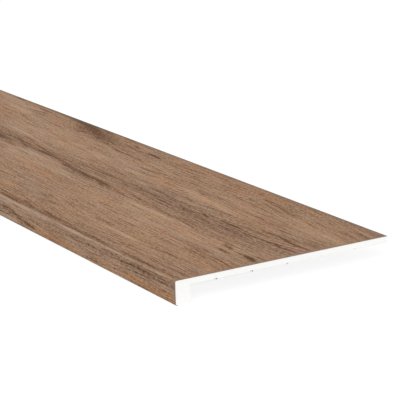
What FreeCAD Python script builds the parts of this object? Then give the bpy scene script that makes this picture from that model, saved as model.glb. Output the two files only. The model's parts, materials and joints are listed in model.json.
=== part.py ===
"""Square-nosed stair tread: a solid white board with a wood-look facing wrapped over its nose.

Millimetres. X runs along the tread, Y from the nose to the back edge, Z up.
The origin is under the middle of the tread, level with the bottom of the nose.
"""

import FreeCAD, Part
import os
import Sketcher

doc = FreeCAD.newDocument("StairTread")

# Driving sizes
sizes = doc.addObject("Spreadsheet::Sheet", "Sizes")
driving_sizes = [
    ("tread_length", 1200, "full length, cut square at both ends"),
    ("tread_depth", 305, "front face of the nose to the back edge"),
    ("nose_height", 30, "walking surface down to the bottom of the nose"),
    ("nose_block_depth", 20, "front face to the back of the nose block"),
    ("core_thickness", 8, "board behind the nose, without its facing"),
    ("facing_thickness", 0.5, "wood-look facing"),
    ("nose_easing", 1.5, "radius on the core's upper front edge"),
    ("lip_easing", 0.8, "radius on the core's lower front edge"),
    ("return_width", 3, "front face to the free edge of the facing under the nose"),
    ("groove_width", 2.5, "width of a groove in the underside"),
    ("groove_depth", 1.2, "depth of a groove in the underside"),
    ("groove_pitch", 50, "groove to groove, and back edge to the first groove"),
]
for row, (alias, value, meaning) in enumerate(driving_sizes, start=1):
    sizes.set(f"A{row}", alias)
    sizes.set(f"B{row}", str(value))
    sizes.set(f"C{row}", meaning)
    sizes.setAlias(f"B{row}", alias)
doc.recompute()

# Where the faces lie: Y for upright ones, Z for level ones
nose_front = "-Sizes.tread_depth / 2"
nose_back = "-Sizes.tread_depth / 2 + Sizes.nose_block_depth"
back_edge = "Sizes.tread_depth / 2"
core_front = "-Sizes.tread_depth / 2 + Sizes.facing_thickness"
return_edge = "-Sizes.tread_depth / 2 + Sizes.return_width"
walking_surface = "Sizes.nose_height"
core_top = "Sizes.nose_height - Sizes.facing_thickness"
panel_underside = "Sizes.nose_height - Sizes.facing_thickness - Sizes.core_thickness"
return_top = "Sizes.facing_thickness"
nose_bottom = "0"


def origin_item(body, role):
    """The body's own origin plane or axis of that role."""
    return next(item for item in body.Origin.OriginFeatures if item.Role == role)


def section_sketch(body, name, sides):
    """A closed outline across the tread, of upright and level sides by turns.

    Each side is (face name, place): the place is its distance from the origin, along Y for an
    upright side and along Z for a level one. The first side is upright.
    """
    sketch = body.newObject("Sketcher::SketchObject", name)
    sketch.AttachmentSupport = [(origin_item(body, "YZ_Plane"), "")]
    sketch.MapMode = "FlatFace"
    places = [float(sketch.evalExpression(place)) for _, place in sides]
    for side in range(len(sides)):
        before = places[side - 1]
        after = places[(side + 1) % len(sides)]
        if side % 2 == 0:
            ends = (places[side], before), (places[side], after)
        else:
            ends = (before, places[side]), (after, places[side])
        start, end = (FreeCAD.Vector(across, up, 0) for across, up in ends)
        sketch.addGeometry(Part.LineSegment(start, end), False)
    for side, (face, place) in enumerate(sides):
        upright = side % 2 == 0
        sketch.addConstraint(Sketcher.Constraint("Coincident", side - 1 if side else len(sides) - 1, 2, side, 1))
        sketch.addConstraint(Sketcher.Constraint("Vertical" if upright else "Horizontal", side))
        distance = "DistanceX" if upright else "DistanceY"
        row = sketch.addConstraint(Sketcher.Constraint(distance, -1, 1, side, 1, places[side]))
        sketch.renameConstraint(row, face)
        sketch.setExpression(f"Constraints.{face}", place)
    return sketch


def full_length_pad(body, name, sketch):
    """The outline run along the whole tread, evenly to both sides of the middle."""
    pad = body.newObject("PartDesign::Pad", name)
    pad.Profile = sketch
    pad.SideType = "Symmetric"
    pad.setExpression("Length", "Sizes.tread_length")
    doc.recompute()
    return pad


def eased_edge(body, name, across, up, radius):
    """Rounds the lengthwise edge of the body that lies at that place in the section."""
    base = body.Tip
    place_y = float(body.evalExpression(across))
    place_z = float(body.evalExpression(up))
    edges = [
        f"Edge{number}"
        for number, edge in enumerate(base.Shape.Edges, start=1)
        if abs(edge.CenterOfMass.x) < 0.01
        and abs(edge.CenterOfMass.y - place_y) < 0.01
        and abs(edge.CenterOfMass.z - place_z) < 0.01
    ]
    if len(edges) != 1:
        raise RuntimeError(f"{name}: {len(edges)} edges found at its place")
    fillet = body.newObject("PartDesign::Fillet", name)
    fillet.Base = (base, edges)
    fillet.setExpression("Radius", radius)
    doc.recompute()


def make_core_board():
    """White board: one extrusion with its nose block, a rebate for the facing and underside grooves."""
    body = doc.addObject("PartDesign::Body", "CoreBoard")
    body.Label = "core_board"
    section = section_sketch(body, "CoreSection", [
        ("core_front", core_front),
        ("core_top", core_top),
        ("back_edge", back_edge),
        ("panel_underside", panel_underside),
        ("nose_back", nose_back),
        ("nose_bottom", nose_bottom),
        ("return_edge", return_edge),
        ("return_top", return_top),
    ])
    full_length_pad(body, "Board", section)
    eased_edge(body, "NoseEasing", core_front, core_top, "Sizes.nose_easing")
    eased_edge(body, "LipEasing", core_front, return_top, "Sizes.lip_easing")

    groove_section = section_sketch(body, "GrooveSection", [
        ("groove_back", f"{back_edge} - Sizes.groove_pitch + Sizes.groove_width / 2"),
        ("groove_mouth", panel_underside),
        ("groove_front", f"{back_edge} - Sizes.groove_pitch - Sizes.groove_width / 2"),
        ("groove_roof", f"{panel_underside} + Sizes.groove_depth"),
    ])
    groove = body.newObject("PartDesign::Pocket", "Groove")
    groove.Profile = groove_section
    groove.SideType = "Symmetric"
    groove.setExpression("Length", "Sizes.tread_length")
    before = body.Shape.Volume
    doc.recompute()

    grooves = body.newObject("PartDesign::LinearPattern", "Grooves")
    grooves.Originals = [groove]
    grooves.Direction = (origin_item(body, "Y_Axis"), [""])
    grooves.Reversed = True
    grooves.Mode = "Spacing"
    grooves.setExpression("Offset", "Sizes.groove_pitch")
    room = "(Sizes.tread_depth - Sizes.nose_block_depth - Sizes.groove_width)"
    grooves.setExpression("Occurrences", f"floor({room} / Sizes.groove_pitch)")
    body.Tip = grooves
    doc.recompute()
    cut = before - body.Shape.Volume
    one_groove = sizes.groove_width * sizes.groove_depth * sizes.tread_length
    if abs(cut - grooves.Occurrences * one_groove) > 0.001 * one_groove:
        raise RuntimeError("The grooves didn't cut what they should")
    return body


def make_decor_layer():
    """Wood-look facing: one film over the top, round the nose and let in under its front edge."""
    body = doc.addObject("PartDesign::Body", "DecorLayer")
    body.Label = "decor_layer"
    section = section_sketch(body, "FacingSection", [
        ("nose_front", nose_front),
        ("walking_surface", walking_surface),
        ("back_edge", back_edge),
        ("core_top", core_top),
        ("core_front", core_front),
        ("return_top", return_top),
        ("return_edge", return_edge),
        ("nose_bottom", nose_bottom),
    ])
    full_length_pad(body, "Facing", section)
    eased_edge(body, "InnerBend", core_front, core_top, "Sizes.nose_easing")
    eased_edge(body, "OuterBend", nose_front, walking_surface, "Sizes.nose_easing + Sizes.facing_thickness")
    eased_edge(body, "InnerLipBend", core_front, return_top, "Sizes.lip_easing")
    eased_edge(body, "OuterLipBend", nose_front, nose_bottom, "Sizes.lip_easing + Sizes.facing_thickness")
    return body


pieces = [make_core_board(), make_decor_layer()]
for piece in pieces:
    piece.Placement = FreeCAD.Placement()
doc.recompute()

failed = [item.Name for item in doc.Objects if {"Invalid", "Error"} & set(item.State)]
if failed:
    raise RuntimeError(f"These objects didn't recompute: {failed}")
for piece in pieces:
    if piece.Shape.isNull() or not piece.Shape.isValid() or len(piece.Shape.Solids) != 1:
        raise RuntimeError(f"{piece.Label} isn't one valid solid")

os.makedirs("parts", exist_ok=True)
for piece in pieces:
    piece.Shape.exportStep(f"parts/{piece.Label}.step")
    print(piece.Label, round(piece.Shape.Volume / 1e6, 4), "litres", piece.Shape.BoundBox)
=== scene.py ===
import json
import math

import bpy
import numpy as np
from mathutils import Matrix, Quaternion, Vector, noise


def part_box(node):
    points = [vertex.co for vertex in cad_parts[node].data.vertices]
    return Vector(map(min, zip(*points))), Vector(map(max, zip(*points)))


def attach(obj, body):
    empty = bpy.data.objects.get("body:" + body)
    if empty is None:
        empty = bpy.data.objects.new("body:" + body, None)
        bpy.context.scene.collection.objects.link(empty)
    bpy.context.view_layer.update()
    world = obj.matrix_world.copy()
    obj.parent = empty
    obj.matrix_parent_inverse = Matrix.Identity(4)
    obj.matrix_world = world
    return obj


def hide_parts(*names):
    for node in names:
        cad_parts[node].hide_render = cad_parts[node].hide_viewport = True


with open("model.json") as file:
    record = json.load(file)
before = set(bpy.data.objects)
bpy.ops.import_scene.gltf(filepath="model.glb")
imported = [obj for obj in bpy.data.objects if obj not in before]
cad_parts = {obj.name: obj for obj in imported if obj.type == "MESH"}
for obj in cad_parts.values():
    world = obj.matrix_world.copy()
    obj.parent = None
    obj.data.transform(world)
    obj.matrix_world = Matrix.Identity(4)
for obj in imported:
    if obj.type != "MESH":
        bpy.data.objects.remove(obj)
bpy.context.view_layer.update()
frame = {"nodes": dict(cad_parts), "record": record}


# Board: white rigid foam with a fine closed cell, one extrusion with its nose block and grooves.
# Its faces are calendered smooth and its ends are sawn square. The grooves underneath are painted dark as
# shade.
# The CAD node has the board's real shape, so it is shown as it is and only gets its finish here.
def srgb(red, green, blue):
    """A colour as a screen shows it, from 0 to 255, as the linear colour that shaders take."""
    linear = []
    for level in (red, green, blue):
        share = level / 255
        linear.append(share / 12.92 if share <= 0.04045 else ((share + 0.055) / 1.055) ** 2.4)
    return (*linear, 1.0)


def add_node(tree, kind, inputs=(), **settings):
    """Adds a shader node, sets it up, and fills its inputs with values or with other nodes' outputs."""
    node = tree.nodes.new(kind)
    for name, value in settings.items():
        setattr(node, name, value)
    for name, value in dict(inputs).items():
        if isinstance(value, bpy.types.NodeSocket):
            tree.links.new(value, node.inputs[name])
        else:
            node.inputs[name].default_value = value
    return node


def calculate(tree, operation, *values, clamp=False):
    """The result of one Math node for these values or other nodes' outputs."""
    return add_node(
        tree, "ShaderNodeMath", dict(enumerate(values)), operation=operation, use_clamp=clamp
    ).outputs[0]


def blend_colours(tree, amount, first, second, blend_type="MIX"):
    """The first colour, mixed with the second by that amount."""
    mix = add_node(tree, "ShaderNodeMix", data_type="RGBA", blend_type=blend_type)
    sockets = {
        mix.inputs[0]: amount,
        mix.inputs[6]: first,
        mix.inputs[7]: second,
    }
    for socket, value in sockets.items():
        if isinstance(value, bpy.types.NodeSocket):
            tree.links.new(value, socket)
        else:
            socket.default_value = value
    return mix.outputs[2]


def stretched_noise(tree, place, sizes, shift, detail=2.0, roughness=0.5, dimensions="3D"):
    """Noise whose patches have those sizes along each axis, in metres."""
    scale = [1.0 / size for size in sizes]
    scale += [1.0] * (3 - len(scale))
    mapped = add_node(tree, "ShaderNodeMapping", {
        "Vector": place, "Scale": scale, "Location": (shift, shift * 0.7, shift * 1.3),
    }).outputs[0]
    return add_node(tree, "ShaderNodeTexNoise", {
        "Vector": mapped, "Scale": 1.0, "Detail": detail, "Roughness": roughness,
    }, noise_dimensions=dimensions).outputs[0]


board_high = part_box("core_board")[1]
mount_places = {mount["name"]: mount["pos_m"] for mount in frame["record"]["mounts"]}
underside = mount_places["underside_bond_face"][2]
nose_back = mount_places["nose_back_face"][1]
face_margin = 0.0003
board_white = srgb(251, 251, 249)
board_cream = srgb(249, 248, 245)
# A dark grey painted into the grooves and along the panel's lower arris, as shade.
painted_shade_grey = srgb(44, 41, 38)
groove_count = 5
groove_pitch = 0.050
groove_half_width = 0.00125
groove_depth = 0.0012
mouth_shade_reach = 0.0006
arris_line_width = 0.0009
arris_line_share = 0.22
full_shade_to = -0.05
faint_shade_from = 0.045
least_shade = 0.08
shade_stops_under_top = 0.003

board_material = bpy.data.materials.new("white_foam_board")
board_material.use_nodes = True
foam = board_material.node_tree
foam_shader = foam.nodes["Principled BSDF"]
foam_place = add_node(foam, "ShaderNodeTexCoord").outputs["Object"]
foam_axes = add_node(foam, "ShaderNodeSeparateXYZ", {0: foam_place})
from_middle = calculate(foam, "ABSOLUTE", foam_axes.outputs["X"])
sawn_end = calculate(foam, "GREATER_THAN", from_middle, board_high.x - face_margin)
cells = stretched_noise(foam, foam_place, (0.0004, 0.0004, 0.0004), 3.1, detail=1.0)
blooms = stretched_noise(foam, foam_place, (0.06, 0.02, 0.008), 5.3, detail=3.0)
saw_lines = stretched_noise(foam, foam_place, (0.01, 0.0009, 0.04), 7.7, detail=2.0)
die_lines = stretched_noise(foam, foam_place, (0.5, 0.0016, 0.0016), 9.1, detail=2.0)
board_colour = blend_colours(foam, blooms, board_white, board_cream)

# Painted shade darkens the grooves. Apart from what the film hides, only their walls and roofs lie
# above the underside and away from the back edge and the ends.
above_underside = calculate(foam, "GREATER_THAN", foam_axes.outputs["Z"], underside + face_margin)
before_back = calculate(foam, "LESS_THAN", foam_axes.outputs["Y"], board_high.y - face_margin)
off_the_end = calculate(foam, "SUBTRACT", 1.0, sawn_end)
below_top = calculate(foam, "LESS_THAN", foam_axes.outputs["Z"], board_high.z - shade_stops_under_top)
in_groove = above_underside
for limit in (before_back, off_the_end, below_top):
    in_groove = calculate(foam, "MULTIPLY", in_groove, limit)

# More painted shade sits round the grooves' mouths on the sawn ends. All of it fades towards the back
# edge.
from_back = calculate(foam, "SUBTRACT", board_high.y, foam_axes.outputs["Y"])
off_groove = calculate(foam, "PINGPONG", from_back, groove_pitch / 2)
off_groove = calculate(foam, "SUBTRACT", off_groove, groove_half_width)
above_groove = calculate(foam, "SUBTRACT", foam_axes.outputs["Z"], underside + groove_depth)
off_mouth = calculate(foam, "MAXIMUM", off_groove, above_groove)
at_mouth = calculate(foam, "DIVIDE", off_mouth, -mouth_shade_reach)
at_mouth = calculate(foam, "ADD", at_mouth, 1.0, clamp=True)
in_panel = calculate(foam, "GREATER_THAN", foam_axes.outputs["Z"], underside - face_margin)
before_last = calculate(foam, "LESS_THAN", from_back, (groove_count + 0.5) * groove_pitch)
off_back = calculate(foam, "GREATER_THAN", from_back, 0.5 * groove_pitch)
for limit in (in_panel, before_last, off_back, sawn_end):
    at_mouth = calculate(foam, "MULTIPLY", at_mouth, limit)
groove_shade = calculate(foam, "MAXIMUM", in_groove, at_mouth)
towards_front = add_node(foam, "ShaderNodeMapRange", {
    "Value": foam_axes.outputs["Y"], "From Min": full_shade_to, "From Max": faint_shade_from,
    "To Min": 1.0, "To Max": least_shade,
}).outputs[0]
groove_shade = calculate(foam, "MULTIPLY", groove_shade, towards_front)
board_colour = blend_colours(foam, groove_shade, board_colour, painted_shade_grey)

# A thin line of painted shade marks the panel's lower arris on the sawn ends.
above_arris = calculate(foam, "SUBTRACT", foam_axes.outputs["Z"], underside)
at_arris = calculate(foam, "DIVIDE", above_arris, -arris_line_width)
at_arris = calculate(foam, "ADD", at_arris, 1.0, clamp=True)
behind_block = calculate(foam, "GREATER_THAN", foam_axes.outputs["Y"], nose_back)
for limit in (sawn_end, in_panel, behind_block, towards_front):
    at_arris = calculate(foam, "MULTIPLY", at_arris, limit)
at_arris = calculate(foam, "MULTIPLY", at_arris, arris_line_share)
board_colour = blend_colours(foam, at_arris, board_colour, painted_shade_grey)

# Saw lines roughen the ends, die lines the other faces, and cells all of them.
finish_lines = add_node(foam, "ShaderNodeMix", {
    "Factor": sawn_end, "A": die_lines, "B": saw_lines,
}, data_type="FLOAT").outputs[0]
line_bump = add_node(foam, "ShaderNodeBump", {
    "Height": finish_lines, "Strength": 0.35, "Distance": 0.0001,
}).outputs[0]
cell_bump = add_node(foam, "ShaderNodeBump", {
    "Height": cells, "Strength": 0.3, "Distance": 0.0001, "Normal": line_bump,
}).outputs[0]
foam.links.new(board_colour, foam_shader.inputs["Base Color"])
foam.links.new(cell_bump, foam_shader.inputs["Normal"])
foam_shader.inputs["Roughness"].default_value = 0.72
foam_shader.inputs["Specular IOR Level"].default_value = 0.2
core_board = frame["nodes"]["core_board"]
core_board.data.materials.clear()
core_board.data.materials.append(board_material)


# Facing: a printed wood-grain film half a millimetre thick, bonded over the board's top and nose.
# It is laid flat from the back edge, turned down round the eased nose and turned under it by 3 mm.
# Its print shows long grayish-brown oak grain with dark streaks and small knots, embossed along it.
facing_low, facing_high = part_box("decor_layer")
facing_thickness = 0.0005
nose_bend = 0.002
lip_bend = 0.0013
return_width = 0.003
length = facing_high.x - facing_low.x
top_flat = facing_high.y - facing_low.y - nose_bend
nose_flat = facing_high.z - facing_low.z - nose_bend - lip_bend
return_flat = return_width - lip_bend
rounding = 1e-6
column_count = 200
top_row_count = 330
nose_row_count = 39
nose_bend_rows = 6
lip_bend_rows = 4


def select_row(mesh_object, axis, place, tolerance=1e-5):
    """In edit mode, selects only the vertices that lie at that place along an axis, with their edges."""
    bpy.ops.object.mode_set(mode="OBJECT")
    mesh = mesh_object.data
    for vertex in mesh.vertices:
        vertex.select = abs(vertex.co[axis] - place) < tolerance
    for edge in mesh.edges:
        edge.select = all(mesh.vertices[end].select for end in edge.vertices)
    for face in mesh.polygons:
        face.select = False
    bpy.ops.object.mode_set(mode="EDIT")


bpy.ops.object.select_all(action="DESELECT")
bpy.ops.mesh.primitive_grid_add(
    x_subdivisions=column_count, y_subdivisions=top_row_count, size=1.0, location=(0.0, 0.0, 0.0)
)
facing = bpy.context.object
facing.name = "wood_facing"
bpy.ops.object.mode_set(mode="EDIT")
bpy.ops.mesh.select_mode(type="VERT")
bpy.ops.mesh.select_all(action="SELECT")
bpy.ops.transform.resize(value=(length, top_flat, 1.0), center_override=(0.0, 0.0, 0.0))
bpy.ops.transform.translate(value=(0.0, facing_high.y - top_flat / 2, facing_high.z))
select_row(facing, 1, facing_high.y - top_flat)
bpy.ops.mesh.spin(
    steps=nose_bend_rows, angle=math.radians(-90.0), axis=(1.0, 0.0, 0.0),
    center=(0.0, facing_low.y + nose_bend, facing_high.z - nose_bend),
)
for _ in range(nose_row_count):
    bpy.ops.mesh.extrude_edges_move(
        TRANSFORM_OT_translate={"value": (0.0, 0.0, -nose_flat / nose_row_count)}
    )
bpy.ops.mesh.spin(
    steps=lip_bend_rows, angle=math.radians(-90.0), axis=(1.0, 0.0, 0.0),
    center=(0.0, facing_low.y + lip_bend, facing_low.z + lip_bend),
)
bpy.ops.mesh.extrude_edges_move(TRANSFORM_OT_translate={"value": (0.0, return_flat, 0.0)})
bpy.ops.mesh.select_all(action="SELECT")
bpy.ops.mesh.normals_make_consistent(inside=False)
bpy.ops.object.mode_set(mode="OBJECT")

# The print's coordinates: along the tread, and across it, down over the nose as if laid flat.
film_mesh = facing.data
outer_count = len(film_mesh.vertices)
outer_faces = len(film_mesh.polygons)
points = np.empty(outer_count * 3, np.float32)
film_mesh.vertices.foreach_get("co", points)
points = points.reshape(-1, 3).astype(float)
along = points[:, 0]
over_bend = np.arctan2(
    facing_low.y + nose_bend - points[:, 1], points[:, 2] - (facing_high.z - nose_bend)
)
on_top = points[:, 2] > facing_high.z - rounding
on_bend = ~on_top & (points[:, 2] > facing_high.z - nose_bend + rounding)
top_front = facing_low.y + nose_bend
bend_length = nose_bend * math.pi / 2
across = np.where(
    on_top,
    points[:, 1],
    np.where(
        on_bend,
        top_front - nose_bend * over_bend,
        top_front - bend_length - (facing_high.z - nose_bend - points[:, 2])
        - np.maximum(0.0, points[:, 1] - facing_low.y),
    ),
)


def soft_step(distance, width):
    """0 well below zero, 1 well above it."""
    return 1.0 / (1.0 + np.exp(-distance / width))


def patch_noise(sideways, size_along, size_across, shift):
    """A smooth chance value, from about -1 to 1, at each point of the print, in patches of that size."""
    return np.array([
        noise.noise(Vector((x / size_along, y / size_across, shift)))
        for x, y in zip(along, sideways)
    ])


# The grain falls slightly towards the near end. There it fans out over the back half of the tread,
# and rises a little towards the nose.
general_fall = 0.035
fan_start = 0.43
fan_width = 0.04
fan_middle = 0.085
fan_rate = 3.5
fan_front = 0.030
fan_front_width = 0.010
rise_start = 0.40
rise_back = -0.110
rise_rate = 0.08
into_fan = fan_width * np.log1p(np.exp((along - fan_start) / fan_width))
into_rise = fan_width * np.log1p(np.exp((along - rise_start) / fan_width))
fan = -fan_rate * (across - fan_middle) * soft_step(across - fan_front, fan_front_width) * into_fan
rise = rise_rate * soft_step(rise_back - across, fan_front_width) * into_rise
waviness = 0.009
drift = -general_fall * along + fan + rise + waviness * patch_noise(across, 0.25, 0.05, 7.3)
print_across = facing_high.y - across + drift

# The figure of the print is drawn in strokes: a darkness, below 0 for a pale one, a width, and the
# places that the stroke runs through. A place is along and across in millimetres. Across counts on
# over the nose, from -152 at its bend to -181 at its lower edge. Broad soft tones come first, then
# the fine veins and the knots.
# The first stroke is a painted highlight along the nose's bend; the second pales the whole nose a little.
bend_highlight_and_nose_tone = (
    (-0.42, 3.6, (-600, -151), (620, -151)), (-0.07, 30, (-700, -167), (700, -167)),
)
nose_tones = (
    (0.10, 7, (210, -152), (260, -152)), (0.10, 8, (212, -152), (262, -152)),
    (-0.25, 5, (180, -154), (280, -154)), (-0.11, 6, (270, -155), (325, -155)),
    (-0.14, 6, (475, -155), (545, -155)), (-0.30, 6, (110, -156), (175, -156)),
    (0.13, 9, (440, -158), (520, -157), (640, -156)), (0.08, 7, (280, -158), (590, -158)),
    (-0.12, 6, (545, -158), (600, -158)), (0.10, 7, (200, -160), (272, -162)),
    (-0.12, 9, (120, -163), (180, -167)), (0.20, 7, (118, -163), (160, -167), (190, -170), (245, -175)),
    (-0.12, 8, (435, -172), (495, -172)), (-0.16, 9, (548, -171), (640, -173)),
    (-0.25, 5, (120, -176), (185, -176)),
)
far_tones = (
    (-0.16, 11, (-580, 147), (-460, 143), (-380, 143), (-335, 142)),
    (0.14, 11, (-250, 152), (-200, 147), (-135, 134)),
    (0.12, 12, (-270, 148), (-170, 146), (-90, 138), (-30, 130)), (0.15, 10, (-230, 138), (-180, 133)),
    (-0.16, 18, (-520, 139), (-440, 135), (-390, 133), (-310, 133)), (-0.12, 7, (-375, 133), (-305, 132)),
    (0.40, 24, (-215, 150), (-160, 142), (-120, 132), (-80, 122), (-35, 113)),
    (0.12, 8, (-90, 133), (-45, 132)), (0.14, 7, (-150, 122), (-95, 121)),
    (-0.14, 8, (-115, 123), (-50, 121)), (-0.12, 12, (-445, 121), (-365, 120)),
    (0.10, 10, (-190, 118), (-105, 116)), (0.13, 9, (-180, 118), (-130, 112)),
    (0.12, 8, (-50, 115), (-10, 115)), (-0.30, 18, (-400, 118), (-345, 113), (-300, 108)),
    (0.10, 8, (-65, 112), (-10, 112)), (-0.10, 6, (-95, 106), (-50, 106)),
    (-0.16, 10, (-305, 105), (-235, 103)), (-0.12, 20, (-300, 100), (-100, 84)),
    (-0.12, 6, (-375, 84), (-325, 83)), (-0.10, 6, (-90, 83), (-50, 83)),
    (-0.12, 7, (-225, 83), (-175, 81)), (-0.12, 8, (-295, 79), (-235, 77)),
    (0.13, 12, (-165, 75), (-120, 72), (-80, 71)), (0.10, 6, (-50, 73), (-10, 72)),
    (-0.16, 44, (-300, 62), (140, 62)), (-0.12, 6, (-75, 63), (-10, 62)),
    (0.10, 10, (-170, 62), (-90, 60)), (-0.09, 8, (-295, 52), (-215, 50)),
    (-0.40, 6, (-270, 46), (-220, 43), (-150, 38)), (-0.11, 6, (-235, 34), (-155, 33)),
    (0.10, 6, (-75, 37), (-20, 33), (25, 33)), (-0.12, 7, (-145, 33), (-65, 33)),
    (0.13, 8, (-330, 32), (-250, 27), (-190, 22)), (0.14, 8, (-115, 19), (-60, 21), (5, 21)),
    (0.12, 6, (-115, 17), (15, 16)), (0.10, 6, (-70, 12), (-15, 12)),
    (-0.14, 7, (-205, 11), (-150, 10), (-105, 10)), (0.14, 14, (-260, 18), (-215, 10), (-175, 0)),
    (0.24, 24, (-300, 10), (-180, 8), (-90, 10)), (-0.14, 9, (-170, 9), (-110, 7)),
    (-0.12, 6, (-105, 6), (-70, 6)), (0.14, 7, (-240, 4), (-190, 2), (-120, 0)),
    (0.26, 15, (-220, 18), (-100, 10), (0, 6), (60, -2), (130, -7), (210, -13)),
    (0.12, 8, (-120, -3), (-60, -7)), (0.10, 6, (-100, -5), (-55, -6)), (-0.34, 12, (-120, -6), (0, -8)),
    (-0.12, 8, (-175, -14), (-90, -16)), (-0.12, 6, (-65, -21), (-5, -23)),
    (-0.14, 6, (-45, -22), (0, -22)), (-0.22, 34, (-130, -18), (0, -26), (110, -28)),
    (-0.17, 12, (-80, -62), (0, -62)), (-0.13, 12, (-110, -66), (0, -78)),
)
middle_tones = (
    (0.10, 6, (195, 142), (240, 142)), (0.10, 6, (55, 133), (95, 133)), (-0.13, 7, (130, 131), (170, 130)),
    (0.10, 10, (125, 128), (205, 132)), (0.15, 13, (-80, 129), (-20, 126), (60, 124), (120, 124)),
    (0.10, 10, (180, 112), (280, 100)), (-0.12, 8, (220, 106), (280, 105)),
    (0.12, 6, (-10, 103), (50, 101)), (0.15, 5, (5, 102), (55, 101)), (-0.10, 8, (180, 102), (215, 101)),
    (0.10, 6, (110, 98), (155, 98)), (-0.10, 9, (240, 96), (330, 88)), (-0.12, 8, (60, 90), (90, 90)),
    (0.12, 6, (170, 91), (210, 90)), (-0.14, 10, (265, 92), (295, 90), (330, 88)),
    (0.10, 6, (210, 86), (260, 86)), (0.10, 7, (175, 79), (265, 78)), (-0.12, 8, (205, 70), (245, 67)),
    (-0.11, 12, (215, 67), (250, 60)), (-0.10, 6, (120, 62), (160, 62)), (-0.12, 10, (145, 64), (200, 60)),
    (-0.13, 8, (135, 59), (210, 57)), (-0.10, 6, (240, 56), (270, 55)), (0.10, 22, (0, 55), (110, 45)),
    (0.12, 7, (85, 33), (210, 33)), (0.10, 8, (35, 22), (80, 23)), (0.10, 6, (30, 20), (85, 20)),
    (-0.12, 22, (255, 14), (325, 16)), (0.10, 30, (-20, 14), (200, 12)), (-0.11, 8, (60, 5), (120, 5)),
    (-0.12, 7, (35, 1), (115, 4)), (-0.14, 7, (275, 2), (312, 2)), (-0.12, 6, (100, -2), (160, -3)),
    (0.10, 6, (180, -10), (215, -11)), (0.12, 6, (40, -12), (145, -11)),
    (-0.10, 7, (215, -26), (265, -25)), (-0.12, 7, (110, -37), (150, -36)),
    (0.17, 15, (0, -34), (70, -40), (120, -42)), (0.10, 14, (245, -40), (305, -42)),
    (-0.10, 6, (50, -56), (95, -55)), (0.10, 6, (235, -72), (265, -74)),
    (-0.10, 8, (100, -75), (165, -73)), (-0.15, 7, (105, -76), (140, -75), (170, -74)),
    (0.15, 9, (218, -75), (265, -76)), (-0.12, 6, (5, -77), (45, -77)), (-0.10, 7, (215, -83), (250, -83)),
    (-0.12, 7, (240, -97), (275, -97)), (-0.14, 7, (265, -108), (325, -104)),
    (-0.10, 7, (268, -107), (330, -106)), (-0.10, 6, (225, -123), (255, -124)),
    (0.14, 7, (185, -133), (310, -132)), (-0.12, 7, (220, -140), (280, -140)),
    (0.26, 12, (110, -143), (240, -143), (340, -144)), (0.13, 6, (185, -147), (300, -147)),
)
near_tones = (
    (0.13, 7, (270, 141), (375, 139)), (-0.12, 6, (315, 138), (365, 136)),
    (0.10, 6, (370, 132), (410, 132)), (0.10, 9, (325, 126), (370, 124)),
    (0.10, 9, (380, 128), (455, 121)), (0.14, 6, (422, 124), (468, 122)),
    (0.16, 16, (380, 118), (430, 112), (480, 104)), (0.14, 9, (470, 110), (530, 102), (610, 97)),
    (-0.10, 6, (420, 100), (478, 98)), (-0.10, 8, (380, 98), (430, 97)), (-0.10, 12, (420, 98), (480, 95)),
    (-0.20, 22, (430, 103), (520, 94), (600, 86)), (-0.10, 16, (565, 95), (660, 85)),
    (-0.10, 6, (440, 87), (475, 86)), (0.10, 6, (325, 67), (375, 67)), (-0.12, 6, (395, 64), (455, 63)),
    (-0.34, 13, (220, 71), (265, 67), (300, 63), (330, 60), (360, 58), (450, 56)),
    (0.10, 6, (490, 62), (520, 62)), (0.11, 12, (345, 67), (400, 60), (445, 47)),
    (0.10, 6, (420, 56), (450, 56)), (0.12, 6, (525, 47), (560, 44)), (-0.12, 14, (315, 44), (355, 46)),
    (0.10, 9, (380, 44), (435, 46)), (-0.10, 10, (325, 38), (380, 42)), (-0.12, 6, (290, 33), (340, 35)),
    (-0.11, 6, (325, 31), (400, 35), (455, 30)), (-0.15, 5, (430, 31), (470, 30)),
    (0.10, 6, (390, 26), (420, 25)), (-0.12, 5, (520, 24), (560, 24)), (-0.13, 8, (495, 22), (565, 23)),
    (0.11, 7, (535, 23), (585, 22)), (-0.12, 7, (325, 15), (355, 15)), (-0.10, 20, (385, 16), (435, 14)),
    (0.22, 46, (170, 16), (600, 12)), (0.12, 8, (560, 5), (605, 5)), (-0.10, 8, (290, 1), (335, 0)),
    (0.10, 7, (520, -8), (590, -12)), (-0.10, 7, (505, -15), (540, -16)),
    (-0.30, 8, (240, -23), (340, -25), (400, -28)), (-0.10, 10, (495, -28), (565, -25)),
    (-0.09, 8, (430, -30), (565, -26)), (-0.10, 8, (435, -32), (475, -33)),
    (-0.10, 5, (510, -33), (550, -33)), (0.12, 9, (320, -43), (375, -46)),
    (0.11, 8, (475, -45), (570, -42)), (0.10, 8, (295, -45), (385, -46)),
    (-0.20, 44, (160, -50), (580, -48)), (0.10, 7, (435, -55), (480, -56)),
    (0.10, 6, (265, -58), (345, -58)), (0.20, 14, (405, -57), (455, -59), (530, -62)),
    (0.09, 8, (320, -59), (430, -64)), (0.10, 6, (390, -62), (430, -63)),
    (0.12, 24, (470, -70), (600, -72)), (-0.10, 6, (330, -78), (370, -78)),
    (-0.11, 9, (420, -88), (485, -84)), (-0.11, 6, (400, -90), (475, -90)),
    (0.11, 8, (285, -86), (315, -98)), (-0.14, 8, (550, -98), (590, -98)),
    (0.10, 10, (375, -101), (405, -103)), (-0.36, 6, (320, -105), (380, -107), (440, -108)),
    (-0.10, 14, (565, -95), (660, -120)), (-0.15, 14, (580, -112), (650, -116)),
    (0.12, 6, (545, -120), (580, -120)), (0.12, 12, (300, -126), (375, -136)),
    (-0.15, 9, (570, -133), (650, -132)), (0.10, 9, (295, -132), (385, -138)),
    (-0.13, 12, (375, -136), (430, -139)), (0.15, 8, (300, -142), (420, -145)),
    (-0.12, 6, (375, -145), (430, -146)), (0.20, 9, (340, -146), (600, -145)),
)
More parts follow.
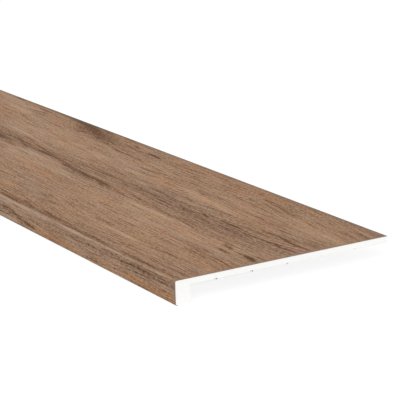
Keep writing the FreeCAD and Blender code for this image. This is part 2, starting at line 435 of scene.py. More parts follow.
back_half_veins = (
    (0.50, 4, (328, 44), (347, 46), (370, 47), (400, 47), (425, 45)),
    (0.60, 4.5, (286, 49), (296, 47), (306, 44), (318, 43)), (0.35, 3, (233, 54), (250, 53), (265, 51)),
    (0.80, 6, (468, 47), (480, 44), (490, 42), (505, 44), (520, 45), (540, 41), (570, 40), (598, 40)),
    (0.35, 4, (468, 52), (480, 51)), (0.40, 4, (508, 53), (525, 51), (537, 49)),
    (0.30, 6, (510, 46), (529, 44), (542, 42), (558, 39), (575, 38)),
    (0.85, 4, (530, 53), (542, 52), (555, 51)), (0.60, 4, (550, 52), (565, 54), (580, 55), (596, 54)),
    (0.55, 4, (452, 35), (465, 34), (478, 33), (490, 34), (505, 34), (522, 32)),
    (0.75, 4, (424, 71), (437, 71), (449, 70)), (0.30, 3, (450, 73), (462, 71)),
    (0.45, 4, (426, 85), (437, 84), (449, 83)), (0.45, 4, (472, 81), (484, 78), (494, 76)),
    (0.45, 3.5, (474, 73), (488, 70), (498, 67)), (0.35, 4, (450, 58), (463, 57)),
    (0.50, 5, (483, 62), (500, 60), (512, 61), (526, 62)), (0.35, 3, (526, 62), (542, 63), (578, 62)),
    (0.40, 4, (434, 128), (443, 125), (452, 124)), (0.45, 4, (446, 118), (460, 117)),
    (-0.50, 6, (441, 121), (453, 121)), (0.35, 4, (434, 138), (449, 131)),
    (0.45, 4, (458, 138), (475, 133), (488, 131)), (0.50, 4, (502, 130), (512, 127), (522, 125)),
    (0.35, 4, (498, 139), (515, 140), (530, 137), (547, 134)), (0.30, 4, (470, 99), (482, 93), (494, 90)),
    (0.90, 4.5, (560, 133), (570, 130), (580, 129), (600, 126)), (0.35, 4, (543, 126), (565, 118)),
    (0.55, 4, (536, 119), (555, 116), (572, 115), (598, 110)), (0.35, 3.5, (538, 99), (554, 96)),
    (0.35, 4, (498, 117), (512, 112)), (0.40, 4, (556, 145), (576, 144), (590, 141)),
    (-0.40, 4, (500, 109), (530, 104), (550, 101), (585, 98)), (-0.30, 4, (540, 92), (595, 88)),
    (-0.35, 6, (528, 58), (547, 57)), (-0.40, 4, (468, 55), (490, 53)), (-0.30, 6, (396, 81), (416, 77)),
    (0.70, 5, (283, 74), (290, 72), (302, 73)), (0.35, 3, (298, 83), (312, 82), (336, 80), (362, 79)),
    (0.55, 5, (325, 103), (335, 101), (346, 100), (363, 101)),
    (0.60, 4, (345, 112), (355, 110), (367, 109)), (0.65, 5, (376, 106), (386, 104)),
    (0.50, 5, (321, 121), (334, 119)), (0.85, 5, (360, 126), (372, 125), (381, 125), (388, 127)),
    (0.65, 4.5, (334, 136), (343, 135), (352, 133)),
    (0.40, 4, (268, 139), (284, 137), (300, 134), (312, 131)), (0.35, 6, (286, 109), (300, 108)),
    (0.40, 4, (256, 110), (275, 109), (290, 107), (304, 108)),
    (0.30, 8, (196, 116), (220, 110), (242, 105)), (0.30, 3, (212, 122), (228, 120)),
    (0.45, 3, (247, 95), (266, 92)), (0.40, 5, (206, 88), (224, 84)),
    (0.40, 3, (193, 66), (210, 65), (225, 67), (242, 66)), (0.30, 3, (252, 62), (278, 60)),
    (-0.35, 6, (204, 58), (224, 57)), (-0.40, 5, (242, 98), (270, 95)), (-0.30, 10, (345, 87), (400, 82)),
    (0.35, 4, (378, 141), (400, 146)), (0.25, 3, (316, 67), (338, 65)),
    (0.85, 5, (-14, 138), (0, 136), (10, 134), (18, 132)), (0.50, 4, (-24, 129), (-5, 127), (10, 125)),
    (1.25, 7, (46, 128), (60, 129), (72, 128), (92, 126)), (0.45, 4, (22, 125), (38, 121)),
    (0.50, 4, (80, 141), (92, 139), (106, 140)), (0.55, 4, (128, 138), (140, 136), (153, 136)),
    (0.45, 4, (167, 121), (180, 120), (194, 121)), (0.30, 4, (160, 120), (178, 112)),
    (0.80, 4.5, (-34, 107), (-15, 104), (0, 102), (15, 101), (45, 101), (62, 99)),
    (0.40, 3.5, (55, 100), (75, 98), (90, 94), (110, 94)), (0.30, 3, (98, 96), (115, 96), (148, 92)),
    (0.75, 4.5, (114, 78), (126, 78), (140, 79), (152, 81), (165, 85), (180, 88)),
    (0.45, 3.5, (116, 71), (135, 69), (146, 66), (160, 67), (190, 69)), (0.40, 4, (-4, 81), (14, 79)),
    (0.35, 3.5, (50, 73), (75, 70)), (0.35, 3, (122, 52), (135, 51), (150, 50)),
    (0.55, 4, (18, 41), (32, 41), (46, 42), (60, 41), (78, 44)), (0.30, 4, (82, 37), (104, 35)),
    (0.35, 3, (176, 47), (198, 46)), (-0.40, 5, (100, 58), (145, 56)), (-0.35, 5, (8, 62), (36, 57)),
    (0.55, 4.5, (-48, 117), (-36, 117), (-22, 115)), (0.55, 5, (-52, 110), (-38, 109)),
    (0.70, 5, (-156, 112), (-143, 116), (-130, 118)), (0.30, 4, (-56, 93), (-36, 93)),
    (1.20, 8, (-215, 151), (-185, 149), (-158, 148)), (0.40, 12, (-138, 144), (-120, 136)),
    (0.32, 16, (-180, 147), (-150, 143), (-135, 137), (-115, 129), (-80, 118)),
    (0.40, 9, (-200, 137), (-165, 128), (-148, 127)), (0.35, 12, (-106, 135), (-80, 124)),
    (0.45, 9, (-84, 132), (-60, 122)), (0.40, 6, (-64, 123), (-44, 120)),
    (0.40, 6, (-116, 148), (-92, 144)), (0.45, 4, (-46, 140), (-30, 137)),
    (0.40, 3, (-246, 138), (-226, 135)), (0.40, 5, (-100, 120), (-80, 112)),
    (0.60, 3.5, (-97, 79), (-85, 78), (-74, 76)), (0.60, 4, (-46, 73), (-32, 73), (-18, 71)),
    (0.35, 4, (-20, 79), (-2, 78)), (0.45, 5, (-228, 73), (-215, 75), (-202, 73)),
    (0.30, 3, (-118, 68), (-82, 64)), (0.40, 4, (-188, 89), (-170, 88), (-152, 87)),
    (0.30, 3, (-228, 99), (-195, 97)), (0.30, 3, (-78, 55), (-62, 53)), (-0.35, 4, (-174, 82), (-150, 83)),
    (0.50, 4, (-107, 41), (-86, 38)), (0.50, 3.5, (-74, 36), (-46, 37)), (0.50, 5, (-191, 48), (-173, 47)),
    (0.90, 5, (-444, 148), (-425, 149), (-400, 148)), (0.75, 4, (-410, 150), (-300, 151)),
    (0.90, 5, (-330, 151), (-190, 151)), (0.60, 5, (-200, 150), (-60, 150)),
    (0.80, 6, (-338, 142), (-320, 141), (-305, 140), (-286, 141)),
    (0.45, 4, (-290, 138), (-270, 137), (-246, 132)), (0.35, 5, (-383, 137), (-366, 135)),
    (0.70, 5, (-308, 132), (-297, 131), (-286, 129)), (0.50, 6, (-358, 127), (-340, 126), (-308, 126)),
    (0.55, 4, (-312, 124), (-300, 123), (-272, 121)), (0.40, 5, (-484, 137), (-465, 133), (-436, 126)),
    (0.50, 5, (-391, 98), (-375, 96), (-352, 93)), (0.35, 4, (-348, 98), (-332, 93)),
    (0.35, 5, (-344, 89), (-322, 83)), (0.65, 4, (-308, 96), (-287, 94)),
    (0.40, 4, (-283, 90), (-252, 88)), (0.40, 4, (-328, 70), (-306, 71)),
    (0.30, 4, (-408, 108), (-386, 107)),
)
middle_veins = (
    (0.55, 4, (-220, 38), (-190, 37), (-160, 32), (-130, 26), (-100, 21),
     (-85, 18), (-55, 15), (-25, 12), (-8, 8)),
    (0.40, 6, (-230, 30), (-195, 27), (-165, 21), (-145, 15)),
    (0.35, 6, (-160, 19), (-150, 16), (-138, 12)), (0.40, 5, (-146, 13), (-135, 9), (-110, 7), (-98, 5)),
    (0.30, 6, (-206, 21), (-185, 16), (-172, 13)),
    (0.60, 5, (-110, 10), (-75, 8), (-28, 7), (0, 8), (10, 6), (34, 3)),
    (0.60, 6, (-70, 8), (-45, 5), (-22, 7)), (0.30, 4, (-178, 5), (-162, 5)),
    (0.50, 8, (-212, 5), (-185, 1), (-168, 0)), (0.45, 8, (-160, -3), (-126, -7)),
    (0.40, 5, (-110, -1), (-90, -1)), (0.50, 9, (18, -1), (45, -2), (84, -4)),
    (1.15, 6.5, (80, -2), (95, -4), (105, -6), (130, -5), (155, -7), (184, -9)),
    (0.55, 6, (36, -11), (50, -14), (75, -15), (90, -16)), (0.60, 4, (112, -10), (125, -12), (136, -11)),
    (0.85, 5, (150, -9), (160, -13), (170, -15), (180, -16)),
    (0.50, 6, (174, -10), (186, -14), (198, -16)), (0.40, 4, (12, -6), (22, -12), (33, -17)),
    (0.40, 6, (152, -26), (172, -28)),
    (0.60, 4.5, (32, 18), (45, 17), (70, 19), (95, 18), (120, 20), (150, 20), (170, 21)),
    (0.50, 4, (146, 25), (160, 22), (178, 21), (204, 23)), (0.35, 4, (72, 26), (92, 25), (118, 21)),
    (0.35, 4, (102, 31), (128, 19)), (0.40, 4, (172, 15), (186, 14), (204, 13)),
    (0.35, 4, (-4, 12), (32, 16)), (0.35, 3, (72, 11), (90, 9)),
    (0.50, 5, (180, 24), (212, 21), (240, 18), (275, 18), (316, 18)), (0.45, 4, (290, 19), (308, 18)),
    (0.45, 4, (198, 16), (225, 13), (262, 9)), (0.75, 4, (263, 12), (280, 11), (305, 11)),
    (0.40, 4, (303, 12), (318, 9)), (0.90, 5, (331, 16), (340, 14), (351, 12)),
    (0.40, 4, (343, 17), (358, 15), (372, 19)), (0.90, 4.5, (370, 23), (382, 22), (393, 21)),
    (0.60, 4, (382, 26), (402, 25)), (0.90, 5, (404, 26), (425, 26), (440, 25), (456, 25), (470, 23)),
    (0.40, 4, (468, 24), (486, 22)), (0.50, 4, (483, 19), (492, 16), (506, 13)),
    (0.80, 5, (521, 21), (535, 19), (547, 17)), (1.05, 6.5, (538, 24), (552, 21), (566, 19)),
    (0.60, 4, (562, 21), (580, 21), (600, 21)), (0.35, 3, (322, 27), (352, 23)),
    (0.30, 3, (302, 33), (318, 31)), (0.40, 4, (216, 34), (255, 32), (294, 30)),
    (0.40, 3, (248, 40), (272, 38), (290, 38)), (0.30, 4, (226, 50), (246, 46)),
)
front_half_veins = (
    (0.60, 4, (200, 0), (220, -3), (260, -8), (300, -11), (330, -15), (360, -19)),
    (0.75, 4, (335, -13), (355, -16), (372, -15), (385, -17), (415, -20), (450, -27)),
    (0.50, 7, (196, -10), (212, -13), (244, -17)), (0.35, 3, (362, -8), (400, -9)),
    (0.30, 3, (218, -30), (262, -30)), (0.30, 3, (278, -31), (310, -32)),
    (0.35, 4, (324, -37), (341, -38)), (0.45, 5, (342, -45), (360, -44), (393, -46)),
    (0.30, 5, (264, -37), (274, -43)), (0.70, 4, (236, -57), (255, -58), (282, -60)),
    (0.45, 3.5, (302, -58), (325, -59), (358, -65)), (0.30, 4, (294, -66), (307, -66)),
    (0.40, 4, (200, -80), (215, -79), (228, -81)), (0.45, 6, (248, -85), (260, -86)),
    (0.35, 4, (196, -90), (215, -93), (234, -94)), (0.55, 4.5, (297, -98), (330, -98), (358, -102)),
    (0.60, 6, (192, -110), (210, -111), (224, -109)), (0.30, 3, (336, -110), (380, -114)),
    (0.30, 4, (220, -127), (240, -124)), (0.55, 4, (452, -20), (470, -22), (498, -22)),
    (0.40, 4, (488, -40), (508, -41)), (0.30, 3, (458, -46), (514, -49)),
    (0.30, 3, (402, -44), (428, -44)), (0.30, 3, (458, -57), (504, -58)),
    (0.55, 4, (505, -59), (518, -60), (528, -62)), (0.35, 3, (416, -62), (460, -64), (514, -64)),
    (0.50, 4, (536, -69), (550, -67), (598, -71)), (0.30, 5, (436, -78), (464, -77)),
    (0.30, 3, (394, -84), (416, -85)), (0.60, 5, (459, -102), (475, -105), (510, -102), (528, -106)),
    (0.40, 3, (517, -99), (547, -102)), (0.45, 4, (416, -125), (443, -127)),
    (0.45, 6, (434, -122), (449, -123)), (0.55, 4, (400, -133), (428, -133)),
    (0.60, 4, (457, -134), (470, -131)), (0.40, 4, (468, -131), (492, -130)),
    (0.35, 4, (500, -129), (530, -128)), (0.35, 5, (525, -121), (540, -123)),
    (0.50, 4, (536, -133), (550, -130), (560, -128), (598, -131)), (0.40, 4, (542, -141), (560, -142)),
    (0.45, 4, (452, -147), (470, -144), (500, -144), (550, -144)), (0.30, 5, (455, -78), (470, -77)),
    (-0.35, 4, (56, -30), (90, -31), (130, -32)), (0.30, 4, (106, -44), (134, -43)),
    (0.30, 3, (-6, -57), (44, -57)), (0.35, 3, (57, -62), (80, -63)), (0.25, 4, (96, -51), (130, -52)),
    (0.55, 4, (37, -81), (50, -82), (64, -80)), (0.30, 7, (42, -90), (60, -94)),
    (0.25, 4, (102, -83), (124, -85)), (0.45, 5, (156, -101), (170, -103), (180, -101)),
    (0.60, 6, (172, -111), (185, -114), (200, -115)), (0.40, 6, (186, -122), (204, -124)),
    (0.35, 4, (160, -93), (180, -95)), (-0.35, 5, (138, -129), (164, -130)),
    (-0.35, 5, (98, -116), (122, -117)), (0.30, 3, (156, -57), (180, -60)),
    (-0.30, 4, (466, -124), (488, -127)), (0.55, 5, (90, -134), (115, -139), (135, -138), (168, -140)),
    (0.75, 5, (172, -136), (194, -137)), (0.70, 5, (112, -144), (140, -146), (188, -147)),
    (0.40, 8, (194, -139), (218, -146)), (0.60, 8, (226, -138), (250, -140), (280, -142), (300, -142)),
    (0.50, 6, (290, -147), (350, -147), (384, -148)), (0.70, 4.5, (376, -141), (390, -142), (403, -144)),
    (0.60, 4, (398, -143), (428, -147)),
)
nose_veins = (
    (0.50, 3, (392, -154), (410, -155), (442, -154)), (0.60, 3, (375, -159), (390, -158), (405, -160)),
    (0.60, 3.5, (422, -160), (437, -161), (445, -160), (456, -159), (484, -159)),
    (0.50, 5, (484, -158), (495, -156), (507, -154), (516, -157), (532, -157)),
    (0.65, 4, (490, -163), (505, -164), (515, -162), (544, -162)),
    (0.60, 3, (522, -156), (540, -154), (555, -154), (570, -156), (600, -153)),
    (0.35, 3, (474, -167), (492, -163)), (0.60, 5, (517, -168), (530, -169), (544, -170)),
    (0.40, 5, (516, -174), (530, -175)), (0.50, 4, (557, -173), (570, -170), (582, -168)),
    (0.45, 4, (556, -160), (600, -162)), (0.40, 4, (497, -173), (510, -174)),
    (0.75, 5, (136, -167), (152, -164)), (0.80, 5, (148, -168), (165, -168), (172, -166), (192, -169)),
    (0.45, 5, (118, -173), (135, -169), (144, -167)), (0.50, 4, (156, -161), (174, -165)),
    (0.90, 4.5, (178, -170), (195, -172), (215, -173), (238, -175)), (0.40, 4, (182, -175), (198, -176)),
    (0.25, 3, (196, -165), (235, -164), (262, -162), (282, -161)), (0.20, 3, (266, -163), (288, -164)),
    (0.35, 3, (312, -162), (330, -160), (364, -161)), (0.25, 3, (160, -158), (184, -160)),
    (0.30, 4, (300, -168), (330, -166)), (0.30, 4, (380, -166), (400, -168)),
    (1.10, 4, (126, -162), (154, -161), (170, -165), (184, -170), (205, -172), (240, -175)),
    (0.60, 6, (120, -169), (144, -166), (168, -166)), (0.50, 4, (262, -170), (300, -172), (335, -173)),
    (0.35, 4, (420, -152), (452, -158), (467, -160), (490, -157)),
    (0.30, 7, (462, -160), (495, -157), (518, -157), (550, -157)),
    (0.35, 5, (518, -157), (562, -159), (605, -158)),
    (0.50, 3, (402, -160), (440, -166), (473, -170), (510, -175)),
    (0.50, 3, (450, -161), (493, -166), (532, -172)), (0.50, 3, (512, -160), (562, -168), (592, -172)),
)
knots = (
    (1.05, 7.5, (498, -26), (510, -28), (520, -29), (534, -32)),
    (0.90, 5.5, (512, -41), (525, -43), (544, -45)),
    (1.90, 7.5, (558, -32), (569, -35), (579, -35), (590, -38)), (0.50, 7, (540, -28), (560, -36)),
    (0.50, 5, (582, -36), (600, -38)), (0.60, 5, (568, -27), (582, -25), (600, -22)),
)

# Orange stretches (above 0) and gray ones (below 0), in the same terms.
warm_strokes = (
    (-0.7, 9, (540, 149), (620, 148)), (1.2, 8, (196, 145), (236, 143)),
    (-0.6, 12, (-210, 148), (-110, 138)), (1.2, 7, (268, 146), (292, 140)),
    (1.0, 12, (260, 146), (300, 142), (380, 140), (420, 142)), (0.9, 8, (430, 144), (490, 134)),
    (0.7, 14, (90, 138), (200, 136)), (0.4, 7, (540, 140), (600, 134)), (1.0, 9, (-490, 138), (-440, 130)),
    (-0.8, 8, (-140, 134), (-60, 126)), (-0.7, 8, (-360, 126), (-320, 126)),
    (1.0, 14, (265, 119), (335, 116)), (-0.7, 14, (465, 123), (525, 111)),
    (0.5, 16, (100, 120), (205, 110)), (-0.8, 12, (-280, 116), (-205, 113)),
    (-0.6, 12, (-60, 118), (65, 111)), (1.0, 12, (475, 113), (525, 110)),
    (0.6, 18, (-370, 112), (-310, 108)), (0.6, 10, (310, 108), (380, 100)),
    (-0.6, 10, (-195, 103), (-135, 103)), (1.0, 16, (45, 93), (115, 89)),
    (0.8, 12, (-130, 82), (-105, 70)), (0.9, 12, (280, 69), (340, 65)), (0.6, 8, (160, 66), (250, 64)),
    (0.8, 10, (545, 61), (620, 69)), (-0.6, 14, (20, 54), (130, 51)),
    (-1.2, 14, (-330, 49), (-200, 44), (-120, 36)), (0.7, 6, (570, 40), (600, 40)),
    (-0.8, 12, (390, 39), (505, 36)), (-0.8, 16, (-150, 34), (-60, 30), (10, 30)),
    (-0.4, 24, (60, 22), (240, 24)), (-0.6, 44, (170, 14), (600, 10)), (0.7, 8, (435, 8), (565, 12)),
    (-0.8, 18, (-250, 9), (-100, 4)), (-1.0, 9, (30, 9), (110, 4), (200, 2), (240, -2)),
    (-1.1, 9, (-90, 1), (-30, -1), (15, -4)), (-0.9, 12, (-120, -6), (0, -8)),
    (-0.6, 8, (220, -15), (325, -22)), (0.7, 10, (-65, -20), (-5, -22)),
    (-0.6, 12, (400, -25), (490, -32)), (-0.7, 12, (-160, -28), (-80, -36)),
    (0.8, 12, (325, -36), (380, -36)), (1.1, 12, (210, -38), (285, -38)), (0.7, 14, (20, -44), (90, -48)),
    (0.6, 10, (200, -45), (280, -52)), (0.6, 16, (75, -60), (195, -65)), (0.7, 8, (556, -76), (600, -84)),
    (0.7, 30, (500, -92), (600, -84)), (-0.9, 8, (185, -101), (280, -101)),
    (0.7, 8, (385, -104), (455, -106)), (-0.8, 10, (100, -106), (150, -109)),
    (-0.6, 8, (445, -118), (505, -119)), (-0.8, 12, (90, -120), (195, -128)),
    (-0.6, 10, (350, -122), (400, -128)), (-0.6, 9, (245, -145), (315, -147)),
    # The first stroke on the next line grays the painted highlight along the nose's bend.
    (-1.2, 9, (-700, -153), (700, -153)), (-1.6, 9, (420, -158), (620, -159)),
    (-0.9, 34, (-700, -168), (700, -168)), (0.8, 6, (400, -170), (430, -172)),
    (1.2, 8, (225, -172), (350, -173)), (1.2, 10, (450, -171), (600, -175)),
    (0.9, 7, (530, -173), (555, -173)), (1.1, 6, (330, -174), (360, -173)),
    (1.8, 8, (492, -174), (525, -174)), (1.9, 9, (566, -174), (604, -176)),
    (1.0, 5, (186, -176), (240, -175)), (1.0, 6, (395, -177), (440, -178)),
)

# The drawing as a whole lies a little nearer and further forward than its places say, and wavers.
drawing_along = 4.0
drawing_across = -1.0
stroke_waver = 0.6
along_mm = along * 1000 - drawing_along
across_mm = across * 1000 - drawing_across + stroke_waver * patch_noise(across, 0.045, 0.010, 31.7)


def brush_stroke(darkness, width, *places):
    """How dark a stroke is at each point of the print. It thins out and fades at both its ends."""
    stations, middles = np.array(places, float).T
    aside = across_mm - np.interp(along_mm, stations, middles)
    half_length = (stations[-1] - stations[0]) / 2
    off_middle = np.abs(along_mm - stations[0] - half_length) / half_length
    thinned = width * np.clip(1.2 - 0.7 * off_middle ** 2, 0.4, 1.0)
    strength = darkness * np.clip(1.0 - off_middle ** 4, 0.0, 1.0)
    return strength * np.exp(-((aside / (0.5 * thinned)) ** 2))


def drawing(*groups, thinner=1.0):
    """All the strokes of these groups, added up, each with its width times that factor."""
    return sum(
        brush_stroke(darkness, width * thinner, *places)
        for group in groups
        for darkness, width, *places in group
    )


top_vein_weight = 1.12
top_vein_width = 0.72
nose_vein_weight = 0.55
nose_vein_width = 0.8
top_veins = drawing(back_half_veins, middle_veins, front_half_veins, thinner=top_vein_width)
tones = drawing(bend_highlight_and_nose_tone, nose_tones, far_tones, middle_tones, near_tones)
veins = top_vein_weight * top_veins
veins += nose_vein_weight * drawing(nose_veins, thinner=nose_vein_width) + drawing(knots)
warmth = drawing(warm_strokes)

# The embossing: shallow valleys along the grain, and none at the film's edges.
valley_depth = 0.00004
valley_length = 0.07
valley_width = 0.0026
valley_steepness = 2.0
plain_margin = 0.004
from_edges = np.minimum(length / 2 - np.abs(along), facing_high.y - across) / plain_margin
valleys = valley_steepness * patch_noise(print_across, valley_length, valley_width, 1.7)
valleys = np.clip(valleys, 0.0, 1.0) * np.clip(from_edges, 0.0, 1.0)
valleys *= points[:, 2] > facing_low.z + lip_bend

for name, values in (
    ("tones", tones), ("veins", veins), ("warmth", warmth), ("valleys", valleys),
):
    film_mesh.attributes.new(name, "FLOAT", "POINT").data.foreach_set(
        "value", values.astype(np.float32)
    )
grain_map = film_mesh.uv_layers.new(name="grain")
corner_vertices = np.empty(len(film_mesh.loops), np.int32)
film_mesh.loops.foreach_get("vertex_index", corner_vertices)
flat_places = np.stack([along, print_across], 1)[corner_vertices]
grain_map.uv.foreach_set("vector", flat_places.astype(np.float32).ravel())

# The wall: the sheet gets its thickness inwards. Its cut edges take the second material, so both
# materials are on the sheet before the wall is made.
film_material = bpy.data.materials.new("wood_grain_film")
film_edge_material = bpy.data.materials.new("cut_film_edge")
facing.data.materials.append(film_material)
facing.data.materials.append(film_edge_material)
bpy.ops.object.modifier_add(type="SOLIDIFY")
wall = facing.modifiers[-1]
wall.thickness = facing_thickness
wall.offset = -1.0
wall.use_even_offset = True
wall.material_offset_rim = 1
bpy.ops.object.modifier_apply(modifier=wall.name)
film_mesh = facing.data

# The valleys sink into the outer face, and the hidden side's flat faces are joined to plain ones.
flat_enough = 0.9999
sunk = points.copy()
sunk[:, 2] -= np.where(on_top, valleys * valley_depth, 0.0)
sunk[:, 1] += np.where(on_top | on_bend, 0.0, valleys * valley_depth)
all_points = np.empty(len(film_mesh.vertices) * 3, np.float32)
film_mesh.vertices.foreach_get("co", all_points)
all_points[: outer_count * 3] = sunk.ravel()
film_mesh.vertices.foreach_set("co", all_points)
film_mesh.update()
bpy.ops.object.mode_set(mode="EDIT")
bpy.ops.mesh.select_mode(type="FACE")
bpy.ops.mesh.select_all(action="DESELECT")
bpy.ops.object.mode_set(mode="OBJECT")
for face in film_mesh.polygons[outer_faces:2 * outer_faces]:
    face.select = max(abs(face.normal.y), abs(face.normal.z)) > flat_enough
bpy.ops.object.mode_set(mode="EDIT")
bpy.ops.mesh.dissolve_faces()
bpy.ops.object.mode_set(mode="OBJECT")
bpy.ops.object.shade_smooth_by_angle(angle=math.radians(30.0))

film_material.use_nodes = True
film = film_material.node_tree
film_shader = film.nodes["Principled BSDF"]
grain_place = add_node(film, "ShaderNodeUVMap", uv_map="grain").outputs[0]


def film_value(name):
    """A value that the film's points hold."""
    return add_node(film, "ShaderNodeAttribute", attribute_name=name).outputs["Fac"]


def grain_layer(along_size, across_size, shift, detail=1.0):
    """Noise drawn out along the grain."""
    return stretched_noise(
        film, grain_place, (along_size, across_size), shift, detail=detail, dimensions="2D"
    )


# How pale the print is, from 0 to 1: a plain level, and each layer of chance grain by its weight.
plain_level = 0.55
growth = grain_layer(0.45, 0.035, 2.3)
bands = grain_layer(0.30, 0.010, 11.9, detail=2.0)
lines = grain_layer(0.16, 0.0026, 23.7, detail=2.0)
fibres = grain_layer(0.055, 0.0013, 37.1)
flecks = grain_layer(0.006, 0.0020, 43.7)
pores = grain_layer(0.011, 0.0005, 51.3)
level = plain_level
for layer, weight in ((growth, 0.08), (bands, 0.10), (lines, 0.30), (fibres, 1.2), (flecks, 1.0)):
    centred = calculate(film, "SUBTRACT", layer, 0.5)
    level = calculate(film, "MULTIPLY_ADD", centred, weight, level)

# What darkens it: the thinnest lines, what is drawn, the valleys, and a band along the back edge.
back_band_width = 0.016
sheet_axes = add_node(film, "ShaderNodeSeparateXYZ", {
    0: add_node(film, "ShaderNodeTexCoord").outputs["Object"],
})
back_gap = calculate(film, "SUBTRACT", facing_high.y, sheet_axes.outputs["Y"])
back_band = calculate(film, "DIVIDE", back_gap, -back_band_width)
back_band = calculate(film, "ADD", back_band, 1.0, clamp=True)
thin_veins = calculate(film, "MULTIPLY_ADD", lines, -6.0, 2.6, clamp=True)
vein_grain = calculate(film, "MULTIPLY_ADD", lines, 0.9, 0.55)
drawn_veins = calculate(film, "MULTIPLY", film_value("veins"), vein_grain)
# The drawn tones include the painted highlight along the nose's bend.
for shade, weight in (
    (thin_veins, 0.20), (film_value("tones"), 1.03), (film_value("valleys"), 0.08),
    (drawn_veins, 0.52), (back_band, 0.17),
):
    level = calculate(film, "MULTIPLY_ADD", shade, -weight, level)
streak_brown = srgb(91, 58, 32)
plain_brown = srgb(152, 118, 91)
pale_brown = srgb(180, 147, 121)
ramp = add_node(film, "ShaderNodeValToRGB", {0: level})
stops = ramp.color_ramp.elements
stops[0].position = 0.0
stops[0].color = streak_brown
stops[1].position = 1.0
stops[1].color = pale_brown
stops.new(0.5).color = plain_brown

# Its hue wanders between gray and orange, by chance and as drawn, and a little from green to rose.
gray_tint = (0.93, 1.0, 1.09, 1.0)
orange_tint = (1.07, 1.0, 0.88, 1.0)
green_tint = (0.965, 1.015, 0.99, 1.0)
rosy_tint = (1.035, 0.985, 1.01, 1.0)
drawn_warmth_share = 0.45
patches = stretched_noise(film, grain_place, (0.16, 0.022), 63.9, detail=2.0, dimensions="2D")
patches = calculate(film, "MULTIPLY_ADD", patches, 1.35, -0.175)
orange_amount = calculate(
    film, "MULTIPLY_ADD", film_value("warmth"), drawn_warmth_share, patches, clamp=True
)
tint = blend_colours(film, orange_amount, gray_tint, orange_tint)
film_colour = blend_colours(film, 1.0, ramp.outputs[0], tint, "MULTIPLY")
rosy_patches = stretched_noise(film, grain_place, (0.07, 0.009), 71.3, detail=2.0, dimensions="2D")
rosy_patches = calculate(film, "MULTIPLY_ADD", rosy_patches, 2.0, -0.5, clamp=True)
second_tint = blend_colours(film, rosy_patches, green_tint, rosy_tint)
film_colour = blend_colours(film, 1.0, film_colour, second_tint, "MULTIPLY")

# Fine pores go over all of it, and a gray line follows the cut at the back edge and both ends.
pore_share = 0.40
cut_line_width = 0.0055
cut_line_share = 0.60
pore_brown = srgb(88, 61, 42)
cut_gray = srgb(114, 107, 101)
pore_value = calculate(film, "MULTIPLY_ADD", pores, 6.0, -3.7, clamp=True)
shown_pores = calculate(film, "MULTIPLY", pore_value, pore_share)
film_colour = blend_colours(film, shown_pores, film_colour, pore_brown)
from_centre = calculate(film, "ABSOLUTE", sheet_axes.outputs["X"])
end_gap = calculate(film, "SUBTRACT", facing_high.x, from_centre)
cut_gap = calculate(film, "MINIMUM", end_gap, back_gap)
cut_line = calculate(film, "DIVIDE", cut_gap, -cut_line_width)
cut_line = calculate(film, "ADD", cut_line, 1.0, clamp=True)
cut_line = calculate(film, "MULTIPLY", cut_line, cut_line_share)
film_colour = blend_colours(film, cut_line, film_colour, cut_gray)
film.links.new(film_colour, film_shader.inputs["Base Color"])

# Its low sheen varies with the fibres, and fibres and pores give it a fine relief.
film_gloss = add_node(film, "ShaderNodeMapRange", {
    "Value": fibres, "To Min": 0.60, "To Max": 0.74,
}).outputs[0]
film.links.new(film_gloss, film_shader.inputs["Roughness"])
film_shader.inputs["Specular IOR Level"].default_value = 0.12
fibre_bump = add_node(film, "ShaderNodeBump", {
    "Height": fibres, "Strength": 0.6, "Distance": 0.00006,
}).outputs[0]
pore_bump = add_node(film, "ShaderNodeBump", {
    "Height": pore_value, "Strength": 0.6, "Distance": 0.00004, "Normal": fibre_bump,
}, invert=True).outputs[0]
film.links.new(pore_bump, film_shader.inputs["Normal"])

# The cut edges of the film show its pale body. The lip's edge under the nose is darkened with painted
# shade.
lip_shade_full_to = 0.0006
lip_shade_gone_from = 0.0014
film_body = srgb(228, 220, 212)
film_body_shade = srgb(206, 197, 188)
lip_shade_brown = srgb(92, 83, 76)
film_edge_material.use_nodes = True
film_edge = film_edge_material.node_tree
film_edge_shader = film_edge.nodes["Principled BSDF"]
film_edge_place = add_node(film_edge, "ShaderNodeTexCoord").outputs["Object"]
film_edge_patches = stretched_noise(film_edge, film_edge_place, (0.004, 0.004, 0.0002), 4.9)
film_edge_colour = blend_colours(film_edge, film_edge_patches, film_body, film_body_shade)
film_edge_height = add_node(film_edge, "ShaderNodeSeparateXYZ", {0: film_edge_place}).outputs["Z"]
# Painted shade darkens the lowest part of the lip's cut edge, next to the floor.
painted_lip_shade = add_node(film_edge, "ShaderNodeMapRange", {
    "Value": film_edge_height, "From Min": lip_shade_full_to, "From Max": lip_shade_gone_from,
    "To Min": 1.0, "To Max": 0.0,
}).outputs[0]
film_edge_colour = blend_colours(film_edge, painted_lip_shade, film_edge_colour, lip_shade_brown)
film_edge.links.new(film_edge_colour, film_edge_shader.inputs["Base Color"])
film_edge_shader.inputs["Roughness"].default_value = 0.6
film_edge_shader.inputs["Specular IOR Level"].default_value = 0.2
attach(facing, "root")
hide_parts("decor_layer")


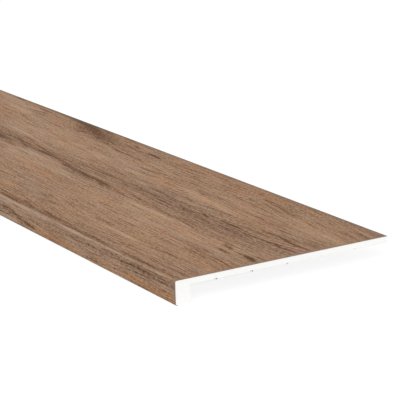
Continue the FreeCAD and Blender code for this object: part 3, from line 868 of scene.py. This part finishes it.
# Stage: a plain pale floor that reads as white and keeps a soft shadow.
# Even studio light comes from all round, with a broad soft lamp above the camera's side.
floor_size = 40.0
floor_glow = 0.88
floor_shade = srgb(110, 110, 110)
fill_strength = 0.6
lamp_strength = 1.75
lamp_spread = math.radians(35.0)
towards_lamp = Vector((0.57, -0.48, 0.72))
white = (1.0, 1.0, 1.0, 1.0)
bpy.ops.object.select_all(action="DESELECT")
bpy.ops.mesh.primitive_plane_add(size=floor_size, location=(0.0, 0.0, 0.0))
floor = bpy.context.object
floor.name = "studio_floor"
floor_material = bpy.data.materials.new("pale_floor")
floor_material.use_nodes = True
ground = floor_material.node_tree
ground_shader = ground.nodes["Principled BSDF"]
ground_shader.inputs["Base Color"].default_value = (0.8, 0.8, 0.8, 1.0)
ground_shader.inputs["Roughness"].default_value = 1.0
ground_shader.inputs["Specular IOR Level"].default_value = 0.0
floor.data.materials.append(floor_material)


def seen_rays(tree):
    """1 for rays that show the background: from the camera, or by way of gloss or glass."""
    rays = add_node(tree, "ShaderNodeLightPath")
    seen = calculate(tree, "MAXIMUM", rays.outputs["Is Camera Ray"], rays.outputs["Is Glossy Ray"])
    return calculate(tree, "MAXIMUM", seen, rays.outputs["Is Transmission Ray"])


glow = add_node(ground, "ShaderNodeEmission", {"Color": white, "Strength": floor_glow})
matt = add_node(ground, "ShaderNodeBsdfDiffuse", {"Color": floor_shade})
shown = add_node(ground, "ShaderNodeAddShader", {0: glow.outputs[0], 1: matt.outputs[0]})
floor_look = add_node(ground, "ShaderNodeMixShader", {
    0: seen_rays(ground), 1: ground_shader.outputs[0], 2: shown.outputs[0],
})
ground.links.new(floor_look.outputs[0], ground.nodes["Material Output"].inputs["Surface"])

world = bpy.data.worlds.new("studio")
bpy.context.scene.world = world
world.use_nodes = True
sky = world.node_tree
fill = add_node(sky, "ShaderNodeBackground", {"Color": white, "Strength": fill_strength})
backdrop = add_node(sky, "ShaderNodeBackground", {"Color": white, "Strength": 1.0})
sky_look = add_node(sky, "ShaderNodeMixShader", {
    0: seen_rays(sky), 1: fill.outputs[0], 2: backdrop.outputs[0],
})
sky.links.new(sky_look.outputs[0], sky.nodes["World Output"].inputs["Surface"])

lamp_data = bpy.data.lights.new("broad_lamp", "SUN")
lamp_data.energy = lamp_strength
lamp_data.angle = lamp_spread
lamp = bpy.data.objects.new("broad_lamp", lamp_data)
bpy.context.scene.collection.objects.link(lamp)
lamp.rotation_euler = towards_lamp.to_track_quat("Z", "Y").to_euler()
bpy.context.scene.view_settings.view_transform = "Standard"


# Camera: low at the near right corner, as in the photograph, with the top of the tread level.
# Its place and lens come from the photograph's three sets of parallel edges.
camera_place = Vector((2.26509, -1.12384, 0.65711))
camera_azimuth = math.radians(58.822)
camera_elevation = math.radians(15.412)
camera_roll = math.radians(-1.478)
camera_data = bpy.data.cameras.new("product_camera")
camera_data.sensor_width = 36.0
camera_data.lens = 158.92
camera_data.clip_end = 100.0
camera = bpy.data.objects.new("product_camera", camera_data)
bpy.context.scene.collection.objects.link(camera)
towards_camera = Vector((
    math.sin(camera_azimuth) * math.cos(camera_elevation),
    -math.cos(camera_azimuth) * math.cos(camera_elevation),
    math.sin(camera_elevation),
))
camera.rotation_mode = "QUATERNION"
camera.rotation_quaternion = towards_camera.to_track_quat("Z", "Y")
camera.rotation_quaternion.rotate(Quaternion(towards_camera, camera_roll))
camera.location = camera_place
bpy.context.scene.camera = camera
